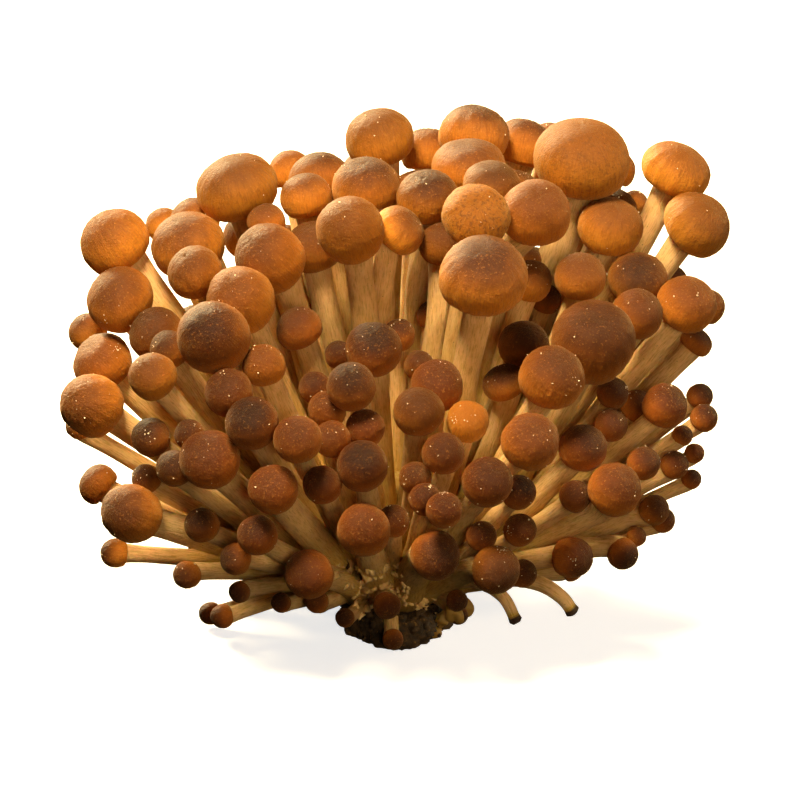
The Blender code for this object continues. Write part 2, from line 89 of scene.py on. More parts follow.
SHOULDER = [
    (-32, 106.8, 10, 9.6), (-31, 97.6, -6, 17.2, (-0.75, -0.7, 1), 0.9), (-20.3, 100.7, 2, 14),
    (-11, 104.5, -4, 16.6, (-0.3, -0.7, 1), 0.88), (1, 104.6, 1, 12.6, (0.85, -0.25, 1), 0.72),
    (11.8, 101, 5, 11.6), (21.6, 92.8, -18, 21.7, (0.05, -0.5, 1), 0.68), (33.6, 92, -1, 11),
    (46, 93.1, -8, 13, (0, -0.3, 1), 0.74), (60.4, 92.6, -7, 14.8, (0.05, -0.8, 1), 0.66),
    (69, 92, 18, 9), (72.3, 86.2, -10, 14.8, (0.45, -0.45, 1), 0.76), (78, 85.8, 6, 9, (0.8, 0, 1)),
    (75, 77, -3, 8.6, (0.7, 0.1, 1), 0.66), (-49.4, 94, -5, 13.6, (-0.5, -0.5, 1)),
    (-68.4, 87.6, -3, 17, (-0.5, -0.6, 1)), (-37.9, 87, -19, 16.6, (-0.45, -0.8, 1), 0.88),
    (-44.4, 78, -34, 17.8, (-0.4, -1.1, 1), 0.9), (-59, 78.8, -10, 14), (-77, 79.4, 9, 9.6),
    (-55.6, 74.8, -19, 9.6), (-23.8, 80.3, -12, 11.8, (-0.5, -0.2, 1), 0.74), (9.3, 83.6, 6, 7.6),
    (1, 78.6, -6, 8.2), (-14, 73.8, -14, 7), (6, 71, -12, 7.6), (59.8, 83.8, -14, 12.9),
    (48.6, 77, -24, 20.6, (0.2, -0.9, 1), 0.84), (31.8, 76, -17, 12.6), (38.3, 68.1, -37, 16.2),
    (27, 66.8, -24, 11.2, (-0.35, -0.25, 1), 0.62),
]
FRONT = [
    (-72.8, 71.8, -3, 15.2), (-75, 61.2, -21, 15.4, (-0.9, -1.1, 0.9), 0.9), (-79, 56, 2, 7),
    (-59.5, 68.3, -31, 11.8), (-60, 53.3, -33, 9.6), (-61.6, 43, -24, 7.6), (-50.5, 54, -36, 7.6),
    (-32.2, 71, -34, 10.6), (-40.5, 64.2, -42, 12), (-34.8, 56.8, -51, 13), (-23.5, 53, -53, 11.8),
    (-45.2, 48, -53, 15), (-54, 45.7, -45, 9), (-29.6, 40.7, -59, 12.2), (-5.2, 74.9, -28, 14.1),
    (-10.6, 65.8, -42, 12), (-19.6, 65.6, -37, 8), (-16.6, 60.2, -43, 9.4), (-15.3, 53, -49, 9),
    (-7.2, 55.6, -47, 9.6), (-17.7, 41.9, -55, 9.4), (-7.9, 46.5, -57, 12.7), (5.8, 59.8, -46, 12.4),
    (10.4, 66, -35, 13.1), (17.7, 57.3, -44, 10.4), (11.8, 49.5, -54, 10.4), (5, 43.5, -54, 8.2),
    (7.3, 38.4, -57, 8), (11.9, 35.8, -62, 9), (22.5, 42.6, -60, 12.3), (30.2, 40, -52, 8.6),
    (53.7, 64.2, -24, 8), (53.2, 56.3, -31, 8.2), (66.7, 61.1, -24, 11.1), (76, 63.4, -5, 6.6),
    (76.8, 58, -9, 7), (71.3, 53.6, -15, 5.3), (74.5, 49.2, -12, 5), (46, 50.8, -41, 11.8),
    (33, 52.4, -57, 14.2), (61.3, 47, -31, 8.2), (69.2, 46.4, -21, 7), (73.7, 42.8, -15, 5),
    (53.8, 40.6, -47, 13.3), (44.2, 39, -45, 8), (60, 61, -11, 8),
]
SKIRT = [
    (-74.5, 41.4, 3, 10.6, (-1, 0.25, 0.75), 0.7), (-65, 34.5, -31, 14.7, (-0.9, -1.2, 0.8), 0.9),
    (-70, 24.2, -7, 7.6, (-1, -0.2, 0.1)), (-47.4, 31.9, -44, 8.6), (-33.5, 29.5, -55, 9.8),
    (-39, 23.6, -49, 7.8, (-1, -0.9, 0.3)), (-51.5, 19.3, -31, 7, (-0.8, -1, 0)),
    (-38.5, 15, -31, 5.4, (-0.7, -1, 0)), (-43.2, 8.4, -13, 6, (-1, -0.5, -0.05)),
    (-46.4, 8.9, -5, 5.8, (-1, 0, 0)), (-28.3, 12.2, -28, 5), (-19.4, 12.5, -27, 6),
    (-21.1, 19.9, -52, 12.2, (-0.5, -1.2, 0.5)), (-7.6, 31, -61, 13, (0, -1.1, 0.9), 0.9),
    (-0.4, 33, -53, 8), (-12.4, 8.6, -35, 4.8), (-2, 11.8, -37, 6.8, (0.3, -1, -0.2)),
    (-0.5, 3, -27, 5.2, (0.2, -1, -0.3)), (9.8, 24.6, -58, 12.3, (0.5, -1.1, 0.35)),
    (15.4, 12.8, -31, 5.4, (0.4, -1, -0.1)), (15.7, 9.2, -29, 5, (0.5, -1, -0.4)),
    (24.6, 21, -55, 12, (0.4, -1.2, 0.1)), (21.2, 29.2, -50, 7.4), (30.6, 30.7, -51, 8.2),
    (31.4, 19.8, -42, 7), (43.6, 23.7, -41, 10.3, (1, -0.8, 0.1)),
    (56.3, 24.5, -31, 7.8, (0.8, -0.9, -0.5)),
    (64.2, 35.2, -23, 7.6), (66.6, 32.6, -17, 6.4), (60, 28.6, -23, 5),
]

# The rear of the cluster is rounder and fuller: caps on an egg, wherever there is room
REAR_CENTRE = (0.0, 4.0, 50.0)
REAR_AXES = (61.0, 64.0, 62.0)
REAR_TRIES = 1400
REAR_START = 10.0            # how far back the rear begins
REAR_WIDTH = (7.2, 11.5)     # cap width low on the egg, and how much wider it is at the top
GOLDEN_ANGLE = math.pi * (3 - math.sqrt(5))

# How some of the mushrooms of the plan look, by how far across and up they are; their gold tone is partly
# painted light
LOOKS = {
    (20, 107.8): dict(gold_and_painted_light=1.0, umbo=0.1, flecked=1.0), (21.6, 92.8): dict(gold_and_painted_light=0.5, umbo=1.0, wrinkled=1.0),
    (8.2, 112.8): dict(gold_and_painted_light=0.55, umbo=1.0), (-39.6, 115.6): dict(gold_and_painted_light=0.85, umbo=0.7),
    (-7.3, 115.6): dict(gold_and_painted_light=0.55, umbo=1.0), (46.5, 122.7): dict(gold_and_painted_light=0.7, umbo=0.3, flecked=0.6),
    (34.8, 108.8): dict(gold_and_painted_light=0.3, umbo=0.6), (60.4, 92.6): dict(gold_and_painted_light=0.55, umbo=1.0),
    (17.7, 57.3): dict(gold_and_painted_light=0.8, umbo=0.2, wrinkled=1.0), (1, 104.6): dict(gold_and_painted_light=0.75, umbo=0.8, wrinkled=1.0),
    (-44.4, 78): dict(gold_and_painted_light=0.15, umbo=1.0, shade=0.6), (-5.2, 74.9): dict(gold_and_painted_light=0.05, umbo=1.0, shade=0.4),
    (-31, 97.6): dict(gold_and_painted_light=0.3, umbo=0.7), (48.6, 77): dict(gold_and_painted_light=0.2, umbo=0.8, wrinkled=0.8),
    (70.5, 120): dict(gold_and_painted_light=0.75, umbo=0.5), (75.3, 106.3): dict(gold_and_painted_light=0.75, umbo=0.4),
    (-70.2, 102): dict(gold_and_painted_light=0.5, umbo=0.6, stout=1.35), (-29.6, 40.7): dict(stout=1.35),
    (9.8, 24.6): dict(stout=1.45), (-7.6, 31): dict(stout=1.25), (24.6, 21): dict(stout=1.15),
    (-45.2, 48): dict(stout=1.1), (56.3, 24.5): dict(stout=1.2), (-65, 34.5): dict(stout=1.15),
}

# Very small mushrooms that fill the gaps deep in the rear: an egg inside the egg
INNER_EGG = 0.8
INNER_TRIES = 900
INNER_WIDTH = (5.6, 8.2)
INNER_START = 6.0            # how far back they begin
INNER_LOWEST = 12.0
INNER_ROOM = 0.2             # clearance that each needs from the others

# Two bare pins low on the right: across, up, depth; then their thickness at the root and the tip
BARE_PINS = [
    ([(10, 17, -18), (20, 17.5, -34), (26.5, 14, -42), (30, 7.5, -44)], 1.7, 1.4),
    ([(12, 18, -18), (24, 19, -32), (35, 17.5, -38), (41, 14, -40), (44.2, 9.8, -40)], 2.3, 1.5),
]

# Scraps of torn tissue low in front, across and up: how many and how large, on whatever flesh is there
TORN_SCRAPS = [
    (-12.3, 20.5, 5, 0.9), (-9.5, 16.5, 8, 1.0), (-7, 19.5, 8, 0.9), (-5, 14.5, 9, 1.1),
    (-2.8, 20, 9, 0.8), (-1, 15.5, 9, 0.9), (2, 13.5, 7, 0.8), (3.6, 16.5, 5, 0.7),
    (7, 12, 8, 0.9), (10, 9.5, 6, 0.8), (-8, 12.5, 6, 0.8),
]
TORN_STUB = (-12.5, 21.5)
FOOT_SWELL = 1.08            # the foot's lumpy surface, as a share of its reach, for what lies on it
FLESHY_LUMPS = [(7, 7, 3.6), (11.5, 7.6, 3.4), (14.8, 9.6, 3.0), (9.5, 4.4, 2.6), (4, 6, 2.6),
                (17, 11, 2.4), (-6, 9, 2.6)]
FLESH_DEPTHS = (-66, -12, 0.5)  # where flesh is looked for, from front to back, and the step

# Small things
DIMPLE_DEPTH = 0.06          # of a cap's radius
PLUG_NARROWER = (0.86, 0.97, 1)  # the substrate's ragged lump, as a share of its solid
CRUMBS = 260
LOOSE_SPECKS = 5             # on each cap, on average
PATCH_SPECKS = 7             # in each patch, on average
PATCH_CHANCE = 0.22
SPECK_SIZE = (0.08, 0.24)

# The studio, in metres: name, place, size, power and colour of each lamp, all aimed at the middle
LAMP_AIM = (0, 0, 0.06)
LAMPS = [
    ("low_sun", (-0.52, 0.85, 0.55), 0.35, 48, (1.0, 0.8, 0.42)),
    ("top_softbox", (-0.2, -0.4, 1.0), 0.36, 33, (1.0, 0.77, 0.42)),
    ("front_fill", (0.3, -1.1, 0.35), 0.5, 6, (1.0, 0.74, 0.4)),
    ("right_fill", (1.0, 0.25, 0.35), 0.5, 6, (1.0, 0.74, 0.4)),
]
BOWL = [(4.0, 0.0), (5.0, 0.15), (5.7, 0.6), (6.0, 1.5), (6.1, 7.0)]  # the floor's radius and height
BOWL_SIDES = 48
CAMERA_TARGET = (0.00125, 0, 0.0584)
CAMERA_DISTANCE = 2
CAMERA_LENS = 360


def unit(vectors):
    """Vectors of length one, row by row."""
    vectors = np.asarray(vectors, float)
    return vectors / np.linalg.norm(vectors, axis=-1, keepdims=True)


def off_the_board(across, up, depth):
    """The point in space that lies so far across and up the leaning board, at this depth."""
    height = (up - BOARD_FOOT - depth * math.sin(BOARD_LEAN)) / math.cos(BOARD_LEAN)
    return (across, depth, height)


def facing(centre):
    """The way a cap faces: outwards from the foot, and more upwards the taller its stem is."""
    x, y, z = centre
    forward = (15 + 0.2 * z) * min(1.0, max(0.0, 1 - y / 30))
    outward = unit((0.9 * x, y - forward, 12 + 0.62 * z))
    level = 0.35 * min(1.0, max(0.0, z / 40))
    return unit(0.75 * outward + level * np.array((0, 0, 1)))


def cap_height(width):
    """Height of a cap for its width: buttons are nearly round, open caps are flatter."""
    return 0.84 - 0.013 * max(0.0, width - 9)


def cap_profile(width, tall):
    """A cap's outline from its top down, as (radius, height) from the middle of its widest ring."""
    radius = width / 2
    dome = 0.6 * tall * width
    margin = 0.4 * tall * width
    outline = [(0, dome)]
    for angle in (math.radians(a) for a in (40, 72)):
        outline.append((radius * math.sin(angle), dome * math.cos(angle)))
    return np.array(outline + [(radius, -0.12 * margin), (0.66 * radius, -margin), (0, -margin)])


def mushroom(centre, width, face, tall, group):
    """One mushroom, before its stem is threaded."""
    return dict(centre=centre, width=width, face=face, group=group, cap=cap_profile(width, tall))


def reach_towards(caps, faces, ways):
    """How far turned caps reach from their centres in the given directions."""
    level = (faces * ways).sum(axis=-1)
    side = np.sqrt(np.maximum(0, 1 - level ** 2))
    return (caps[..., 0] * side[..., None] + caps[..., 1] * level[..., None]).max(axis=-1)


def planted(rows, group):
    """The mushrooms of one part of the plan, as dictionaries."""
    mushrooms = []
    for across, up, depth, width, *more in rows:
        centre = np.array(off_the_board(across, up, depth))
        face = unit(more[0]) if more else facing(centre)
        tall = more[1] if len(more) > 1 else cap_height(width)
        mushrooms.append(mushroom(centre, width, face, tall, group))
    return mushrooms


def clearances(mushrooms, centre):
    """Clearance between each two caps along the line that joins their centres."""
    caps = np.array([m["cap"] for m in mushrooms])
    faces = np.array([m["face"] for m in mushrooms])
    delta = centre[None, :, :] - centre[:, None, :]
    distance = np.linalg.norm(delta, axis=2) + 1e9 * np.eye(len(mushrooms))
    reach = reach_towards(caps[:, None], faces[:, None], delta / distance[..., None])
    return distance - reach - reach.T


def spread_out(mushrooms):
    """Moves caps that would touch apart, mostly in depth, so that the plan keeps its shape."""
    centre = np.array([m["centre"] for m in mushrooms])
    home = centre.copy()
    into = np.array((0, math.cos(BOARD_LEAN), -math.sin(BOARD_LEAN)))
    lowest = np.array([m["width"] / 2 + 0.6 for m in mushrooms])
    for step in range(400):
        overlap = np.maximum(0, 2 * GAP - clearances(mushrooms, centre))
        if not overlap.any():
            break
        push = centre[None, :, :] - centre[:, None, :]
        push /= np.linalg.norm(push, axis=2, keepdims=True) + np.eye(len(mushrooms))[..., None]
        push += 0.7 * np.sign(push @ into)[..., None] * into
        centre -= 0.3 * (overlap[..., None] * push).sum(axis=1)
        if step < 300:
            away = centre - home
            centre -= 0.25 * (away - (away @ into)[:, None] * into)
        centre[:, 2] = np.maximum(centre[:, 2], lowest)
    for m, place in zip(mushrooms, centre):
        m["centre"] = place


def stem_radius(width):
    """Radius of the stem that carries a cap this wide."""
    thin, share = STEM_THICKNESS
    return (thin + share * width) / 2


def first_line(m):
    """A stem's middle line as it would grow alone: up from the foot, then square to its cap."""
    x, y, z = m["centre"]
    reach = max(math.hypot(x, y), 1e-6)
    out = ROOT_RADIUS * min(1.0, reach / 62) / reach
    root = np.array((x * out, y * out, ROOT_HEIGHT))
    end = m["centre"] + m["face"] * (m["cap"][-1, 1] - GAP)
    length = np.linalg.norm(end - root)
    one = root + 0.3 * length * unit(0.8 * unit(end - root) + 0.2 * np.array((0, 0, 1)))
    two = end - 0.33 * length * m["face"]
    t = np.linspace(0, 1, THREAD_POINTS)[:, None]
    return ((1 - t) ** 3 * root + 3 * (1 - t) ** 2 * t * one
            + 3 * (1 - t) * t ** 2 * two + t ** 3 * end)


def room_around(m, others):
    """The least clearance of a new mushroom's cap and stem from the others' caps and stems."""
    caps = np.array([o["cap"] for o in others])
    faces = np.array([o["face"] for o in others])
    centre = np.array([o["centre"] for o in others])
    lines = np.array([o["line"] for o in others])
    thick = np.array([stem_radius(o["width"]) for o in others])
    away = centre - m["centre"]
    distance = np.linalg.norm(away, axis=1)
    way = away / distance[:, None]
    between_caps = distance - reach_towards(m["cap"], m["face"], way) - reach_towards(caps, faces, -way)
    along = lines - m["centre"]
    distance = np.linalg.norm(along, axis=2)
    reach = reach_towards(m["cap"], m["face"], along / distance[..., None])
    to_stems = distance - reach - thick[:, None]
    along = m["line"][None, 3:] - centre[:, None]
    distance = np.linalg.norm(along, axis=2)
    reach = reach_towards(caps[:, None], faces[:, None], along / distance[..., None])
    to_caps = distance - reach - stem_radius(m["width"])
    return min(between_caps.min(), to_stems.min(), to_caps.min() + STEM_LEEWAY)


def planted_behind(mushrooms):
    """More mushrooms on the rear of the egg, from a golden-angle spiral, where there is room."""
    rng = np.random.default_rng(7)
    grown = list(mushrooms)
    for m in grown:
        m["line"] = first_line(m)
    for turn in range(REAR_TRIES):
        height = 1 - 1.72 * (turn + 0.5) / REAR_TRIES
        ring = math.sqrt(1 - height * height)
        angle = turn * GOLDEN_ANGLE
        swell = rng.uniform(0.86, 1.06)
        spread = rng.uniform(0.85, 1.15)
        spot = (ring * math.cos(angle), ring * math.sin(angle), height)
        centre = np.array([c + s * swell * p for c, s, p in zip(REAR_CENTRE, REAR_AXES, spot)])
        if centre[1] < REAR_START or centre[2] < 7:
            continue
        width = (REAR_WIDTH[0] + REAR_WIDTH[1] * (centre[2] / 115) ** 1.2) * spread
        new = mushroom(centre, width, facing(centre), cap_height(width), "rear")
        new["line"] = first_line(new)
        if room_around(new, grown) > 2 * GAP:
            grown.append(new)
    return grown


def thread_stems(mushrooms):
    """Bends each stem round the caps of the other mushrooms."""
    lines = np.array([m["line"] for m in mushrooms])
    centre = np.array([m["centre"] for m in mushrooms])
    caps = np.array([m["cap"] for m in mushrooms])
    faces = np.array([m["face"] for m in mushrooms])
    radius = np.array([m["width"] / 2 for m in mushrooms])
    thick = np.array([stem_radius(m["width"]) for m in mushrooms])
    others = ~np.eye(len(mushrooms), dtype=bool)[:, None, :]
    for step in range(THREAD_STEPS):
        delta = lines[:, 1:-1, None, :] - centre
        distance = np.linalg.norm(delta, axis=3)
        near = others & (distance < radius + thick[:, None, None] + STEM_LEEWAY)
        stem, point, cap = np.nonzero(near)
        apart = distance[stem, point, cap]
        way = delta[stem, point, cap] / apart[:, None]
        reach = reach_towards(caps[cap], faces[cap], way)
        overlap = np.maximum(0, reach + thick[stem] + 3 * GAP - apart)
        push = np.zeros_like(lines[:, 1:-1])
        np.add.at(push, (stem, point), overlap[:, None] * way)
        tangent = unit(lines[:, 2:] - lines[:, :-2])
        push -= (push * tangent).sum(axis=2, keepdims=True) * tangent
        smooth = (lines[:, 2:] + lines[:, :-2]) / 2 - lines[:, 1:-1]
        lines[:, 1:-1] += 0.8 * push + STEM_STIFFNESS * smooth
        lines[:, 1:-1, 2] = np.maximum(lines[:, 1:-1, 2], thick[:, None] + 0.6)
    for m, line in zip(mushrooms, lines):
        m["line"] = line


# ---------------------------------------------------------------------------------------------
# Surfaces


def waves(points, size, seed, count=9):
    """A smooth random field between about -1 and 1, with bumps of this size."""
    rng = np.random.default_rng(seed)
    ways = unit(rng.normal(size=(count, 3))) * 2 * math.pi / size * rng.uniform(0.6, 1.4, (count, 1))
    phases = rng.uniform(0, 2 * math.pi, count)
    return np.sin(points @ ways.T + phases).sum(axis=-1) / math.sqrt(count)


def eased(low, high, value):
    """A smooth step from 0 at low to 1 at high."""
    t = np.clip((value - low) / (high - low), 0, 1)
    return t * t * (3 - 2 * t)


def axes_of(face):
    """Three axes at right angles, the last along the face."""
    z = unit(face)
    helper = np.array((0, 0, 1.0)) if abs(z[2]) < 0.9 else np.array((0, 1.0, 0))
    x = unit(np.cross(helper, z))
    return np.array((x, np.cross(z, x), z))


def skin(rings, first, last, **marks):
    """A closed surface through rings of points, with a point at each end; a mark has a row per ring."""
    count, sides, _ = rings.shape
    corners = np.concatenate([[first], rings.reshape(-1, 3), [last]])
    ring = 1 + np.arange(count * sides).reshape(count, sides)
    turn = np.roll(ring, -1, axis=1)
    quads = np.stack([ring[:-1], ring[1:], turn[1:], turn[:-1]], axis=-1).reshape(-1, 4)
    tip = np.stack([np.zeros(sides, int), ring[0], turn[0]], axis=-1)
    end = np.stack([np.full(sides, len(corners) - 1), turn[-1], ring[-1]], axis=-1)
    full = {}
    for name, mark in marks.items():
        mark = np.broadcast_to(mark, (count, sides) + mark.shape[2:])
        flat = mark.reshape((-1,) + mark.shape[2:])
        full[name] = np.concatenate([[mark[0].mean(axis=0)], flat, [mark[-1].mean(axis=0)]])
    return dict(corners=corners, faces=[quads, np.concatenate([tip, end])], marks=full)


def new_piece(name, skins, material, slot, *nodes):
    """A shown piece made of these skins, riding on the root and standing for these solids."""
    corners = np.concatenate([s["corners"] for s in skins])
    starts = np.cumsum([0] + [len(s["corners"]) for s in skins])
    faces = [f + start for s, start in zip(skins, starts) for f in s["faces"]]
    sizes = np.concatenate([np.full(len(f), f.shape[1]) for f in faces])
    mesh = bpy.data.meshes.new(name)
    mesh.vertices.add(len(corners))
    mesh.vertices.foreach_set("co", (corners * MM).ravel())
    mesh.loops.add(int(sizes.sum()))
    mesh.loops.foreach_set("vertex_index", np.concatenate([f.ravel() for f in faces]))
    mesh.polygons.add(len(sizes))
    mesh.polygons.foreach_set("loop_start", np.concatenate([[0], np.cumsum(sizes)[:-1]]))
    mesh.polygons.foreach_set("loop_total", sizes)
    for mark in skins[0]["marks"]:
        values = np.concatenate([s["marks"][mark] for s in skins]).astype(np.float32)
        kind, field = ("FLOAT_VECTOR", "vector") if values.ndim == 2 else ("FLOAT", "value")
        mesh.attributes.new(mark, kind, "POINT").data.foreach_set(field, values.ravel())
    mesh.update(calc_edges=True)
    mesh.shade_smooth()
    mesh.materials.append(material)
    piece = bpy.data.objects.new(name, mesh)
    bpy.context.scene.collection.objects.link(piece)
    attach(piece, "root")
    if nodes:
        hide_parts(*nodes)


def cap_outline(m, steps):
    """A cap from its apex down, round its margin and in under it: radius, height and band.

    The band runs from 0 at the apex to 1 at the margin's edge and 2 where the underside meets the stem.
    """
    radius = m["width"] / 2
    dome, edge = m["cap"][0, 1], m["cap"][-1, 1]
    fold = m["cap"][-2, 0] / radius
    top = np.linspace(0, math.pi / 2, steps + 1)[1:]
    rows = [(radius * math.sin(a) ** m["plump"], dome * math.cos(a), 0.7 * a / (math.pi / 2)) for a in top]
    for a in np.linspace(0, math.pi / 2, steps // 2 + 1)[1:]:
        rows.append((radius * (fold + (1 - fold) * math.cos(a)), edge * math.sin(a),
                     0.7 + 0.3 * a / (math.pi / 2)))
    stem = stem_radius(m["width"]) / radius
    if m["open"]:
        under = ((0.97, 0.975, 1.06), (0.955, 0.88, 1.14), (0.93, 0.7, 1.25), (0.82, 0.45, 1.4),
                 (0.68, 0.3, 1.6), (0.5, 0.22, 1.8))
    else:
        under = ((0.96, 0.99, 1.06), (0.9, 0.95, 1.2), (0.8, 0.9, 1.5), (0.7, 0.84, 1.7))
    for share, sink, band in under:
        rows.append((radius * max(fold * share, 0.9 * stem), edge * sink, band))
    rows.append((0.8 * stem * radius, edge * under[-1][1], 2.0))
    return np.array(rows)


def cap_skin(m):
    """The skin of one cap or button."""
    radius = m["width"] / 2
    sides = 96 if m["open"] else 64 if m["width"] > 8 else 40
    outline = cap_outline(m, 26 if m["width"] > 8 else 16)
    angle = np.linspace(0, 2 * math.pi, sides, endpoint=False)
    level = outline[:, 2][:, None]
    flat = np.stack([np.cos(angle), np.sin(angle)], axis=-1)
    local = np.concatenate([outline[:, None, :1] * flat, np.broadcast_to(outline[:, None, 1:2],
                            (len(outline), sides, 1))], axis=-1)
    seed = m["seed"]
    lumps = 0.022 * waves(local, 1.8 * radius, seed) + 0.006 * waves(local, 0.6 * radius, seed + 1)
    lumps += 0.006 * waves(local, 1.3, seed + 2) * min(1, 7 / radius)
    ridges = waves(np.concatenate([flat * 26, 0 * flat[:, :1]], axis=-1), 6.0, seed + 3)
    lumps += m["wrinkled"] * 0.012 * ridges * eased(0.15, 0.5, level) * eased(1.02, 0.8, level)
    local = local * (1 + lumps * eased(1.9, 1.1, level))[..., None]
    if m["open"]:
        gills = np.where(np.arange(sides) % 2, 1.0, -1.0) * eased(1.15, 1.3, level) * eased(2, 1.85, level)
        local[..., 2] += 0.22 * gills
    dimple = DIMPLE_DEPTH * radius * m["dimple"]
    local[..., 2] -= dimple * eased(0.3, 0.0, level)
    grain = np.concatenate([np.broadcast_to(9 * flat, local.shape[:2] + (2,)),
                            np.broadcast_to(3 * level[..., None], local.shape[:2] + (1,))], axis=-1)
    grain = grain + np.array((seed * 0.37 % 40, seed * 0.73 % 40, 0))
    axes = axes_of(m["face"])
    place = m["centre"]
    apex = place + np.array((0, 0, m["cap"][0, 1] - dimple)) @ axes
    middle = place + np.array((0, 0, outline[-1, 1])) @ axes
    return skin(place + local @ axes, apex, middle, band=level, grain=grain,
                **{mark: np.full((1, 1), m[mark]) for mark in ("gold_and_painted_light", "umbo", "flecked", "shade")})


def smooth_line(points, parts):
    """A smooth curve through the points, with so many parts to each span."""
    ends = np.concatenate([[2 * points[0] - points[1]], points, [2 * points[-1] - points[-2]]])
    t = np.linspace(0, 1, parts, endpoint=False)[:, None]
    spans = []
    for a, b, c, d in zip(ends, ends[1:], ends[2:], ends[3:]):
        spans.append(0.5 * (2 * b + (c - a) * t + (2 * a - 5 * b + 4 * c - d) * t ** 2
                            + (3 * b - a - 3 * c + d) * t ** 3))
    return np.concatenate(spans + [points[-1:]])


def carried(line):
    """For each point of a line, two axes square to it that do not twist along it."""
    tangent = unit(np.gradient(line, axis=0))
    side = axes_of(tangent[0])[0]
    sides = []
    for way in tangent:
        side = unit(side - (side @ way) * way)
        sides.append(side)
    sides = np.array(sides)
    return sides, np.cross(tangent, sides)


def tube_skin(line, radii, seed, sides, **marks):
    """The skin of a stem: a fibrous tube that is nowhere quite round."""
    one, two = carried(line)
    length = np.concatenate([[0], np.linalg.norm(np.diff(line, axis=0), axis=1).cumsum()])
    angle = np.linspace(0, 2 * math.pi, sides, endpoint=False)
    flat = np.stack([np.cos(angle), np.sin(angle)], axis=-1)
    field = np.concatenate([np.broadcast_to(flat * 4, (len(line), sides, 2)),
                            np.broadcast_to(0.22 * length[:, None, None], (len(line), sides, 1))], axis=-1)
    bulge = 0.05 * waves(field, 6, seed) + 0.02 * waves(field * (1, 1, 0.5), 2.2, seed + 1)
    reach = radii[:, None] * (1 + bulge)
    rings = line[:, None] + reach[..., None] * (flat[:, :1] * one[:, None] + flat[:, 1:] * two[:, None])
    grain = np.concatenate([np.broadcast_to(flat * radii.mean() * 1.2, (len(line), sides, 2)),
                            np.broadcast_to(length[:, None, None], (len(line), sides, 1))], axis=-1)
    grain = grain + np.array((seed * 0.61 % 50, seed * 0.29 % 50, 0))
    return skin(rings, line[0], line[-1], grain=grain, **marks)


def stem_radii(m, along):
    """Radius of a stem at places along it, from 0 at the root to 1 in the cap: wider at both ends."""
    radius = stem_radius(m["width"]) * m["stout"]
    return radius * (1.12 - 0.2 * along + 0.12 * eased(0.35, 0, along) + 0.22 * eased(0.82, 1, along))


def stem_skin(m):
    """One stem, from inside its cap down into the foot."""
    line = np.concatenate([m["line"], [m["centre"] + 0.35 * m["cap"][-1, 1] * m["face"]]])
    line = smooth_line(line, 5)[::-1]
    along = np.linspace(1, 0, len(line))
    radii = stem_radii(m, along)
    sides = 26 if m["width"] > 8 else 18
    return tube_skin(line, radii, m["seed"] + 5, sides, along=along[:, None],
                     shade=np.full((1, 1), m["shade"]))


# ---------------------------------------------------------------------------------------------
# Materials


class Nodes:
    """The nodes of one material, added and wired in one call each."""

    def __init__(self, name):
        self.material = bpy.data.materials.new(name)
        self.material.use_nodes = True
        self.tree = self.material.node_tree
        self.shader = self.tree.nodes["Principled BSDF"]

    def set(self, node, inputs):
        """Sets a node's inputs, by name or number, to values or to other nodes' outputs."""
        for key, value in inputs.items():
            if isinstance(value, bpy.types.NodeSocket):
                self.tree.links.new(value, node.inputs[key])
            else:
                node.inputs[key].default_value = value
        return node

    def add(self, kind, inputs, **settings):
        node = self.tree.nodes.new(kind)
        for key, value in settings.items():
            setattr(node, key, value)
        return self.set(node, inputs)

    def mark(self, name, output="Fac"):
        """A mark that the mesh carries."""
        return self.add("ShaderNodeAttribute", {}, attribute_name=name).outputs[output]

    def noise(self, where, scale, detail=3.0, roughness=0.5):
        made = self.add("ShaderNodeTexNoise", {"Vector": where, "Scale": scale, "Detail": detail,
                                               "Roughness": roughness})
        return made.outputs["Fac"]

    def math(self, operation, a, b=0.0, c=0.0):
        return self.add("ShaderNodeMath", {0: a, 1: b, 2: c}, operation=operation).outputs[0]

    def span(self, value, low, high, to_low=0.0, to_high=1.0):
        """The value, smoothly mapped from one span to another."""
        made = self.add("ShaderNodeMapRange", {"Value": value, "From Min": low, "From Max": high,
                                               "To Min": to_low, "To Max": to_high},
                        interpolation_type="SMOOTHSTEP")
        return made.outputs["Result"]

    def mix(self, factor, a, b, blend="MIX"):
        """Two colours mixed."""
        a, b = [(*x, 1) if isinstance(x, tuple) else x for x in (a, b)]
        made = self.add("ShaderNodeMix", {0: factor, 6: a, 7: b}, data_type="RGBA", blend_type=blend)
        return made.outputs[2]

    def bump(self, height, depth, under=None):
        inputs = {"Height": height, "Distance": depth, "Strength": 1.0}
        if under:
            inputs["Normal"] = under
        return self.add("ShaderNodeBump", inputs).outputs["Normal"]


